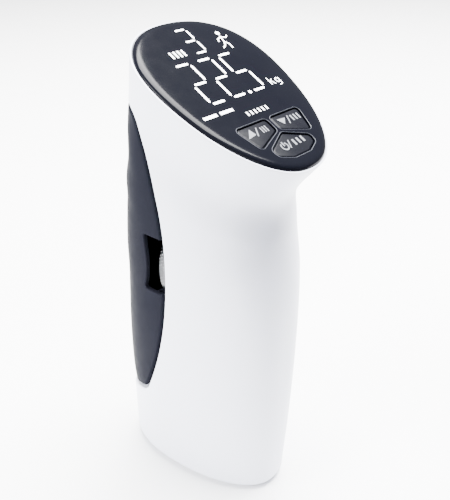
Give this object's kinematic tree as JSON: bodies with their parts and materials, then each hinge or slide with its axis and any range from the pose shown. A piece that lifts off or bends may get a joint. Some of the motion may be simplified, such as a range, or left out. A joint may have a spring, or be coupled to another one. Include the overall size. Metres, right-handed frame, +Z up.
{
  "type": "hand dynamometer",
  "caption": "Upright hand-grip dynamometer: an oval housing with a tilted display head, a sprung finger lever and a knurled wheel that sets the grip span.",
  "frame": {"origin": "middle of the overall length and width, on the base plane", "axes": "+X towards the palm side, -X towards the fingers, +Z up from the base to the display head, +Y across the grip"},
  "size_m": [0.0724, 0.0516, 0.16],
  "materials": {
    "white_abs": "satin moulded ABS",
    "black_abs": "semi-gloss moulded ABS",
    "smoked_acrylic": "polished dark acrylic",
    "light_grey_abs": "fine matt texture",
    "steel": "zinc plated",
    "aluminium": "machined",
    "wheel_plating": "knurled, bright",
    "brass": "machined",
    "grey_nylon": "moulded nylon",
    "rubber": "soft",
    "board": "solder mask",
    "gauge_foil": "polyimide film",
    "cell_wrap": "shrink wrap",
    "button_black": "fine texture",
    "red_wire": "insulation"
  },
  "bodies": {
    "root": {"main_housing": "white_abs", "threaded_inserts": "brass", "battery_holder": "grey_nylon", "battery_cells": "cell_wrap", "battery_plates": "steel", "chassis": "grey_nylon", "chassis_screws": "steel", "load_cell": "aluminium", "load_cell_screws": "steel", "strain_gauges": "gauge_foil", "threaded_spindle": "steel", "lock_nut": "steel", "guide_bushes": "brass", "display_panel": "smoked_acrylic", "panel_gasket": "rubber", "led_module": "grey_nylon", "main_board": "board", "board_screws": "steel", "tact_switches": "grey_nylon", "keypad_membrane": "rubber", "signal_cable": "red_wire", "battery_cable": "red_wire"},
    "lever": {"finger_lever": "black_abs", "guide_rods": "steel", "wheel_retainer": "grey_nylon", "retainer_screws": "steel"},
    "wheel": {"adjusting_wheel": "wheel_plating"},
    "cover": {"battery_cover": "light_grey_abs", "cover_contact": "steel"},
    "up": {"button_up": "button_black"},
    "down": {"button_down": "button_black"},
    "power": {"button_power": "button_black"}
  },
  "joints": [
    {"name": "wheel_turn", "type": "hinge", "parent": "lever", "child": "wheel", "pos_m": [0, 0, 0.0885], "axis": [1, 0, 0], "range_deg": [0, 1800]},
    {"name": "lever_slide", "type": "slide", "parent": "root", "child": "lever", "axis": [-1, 0, 0], "range_m": [0, 0.01]},
    {"name": "cover_slide", "type": "slide", "parent": "root", "child": "cover", "axis": [0, 0, -1], "range_m": [0, 0.012]},
    {"name": "up_press", "type": "slide", "parent": "root", "child": "up", "axis": [-0.4878, 0, -0.873], "range_m": [0, 0.0005], "stiffness_N_per_m": 2000},
    {"name": "down_press", "type": "slide", "parent": "root", "child": "down", "axis": [-0.4878, 0, -0.873], "range_m": [0, 0.0005], "stiffness_N_per_m": 2000},
    {"name": "power_press", "type": "slide", "parent": "root", "child": "power", "axis": [-0.4878, 0, -0.873], "range_m": [0, 0.0005], "stiffness_N_per_m": 2000}
  ],
  "couplings": [
    {"joint": "lever_slide", "follows": "wheel_turn", "m_per_rad": 0.00031831}
  ]
}
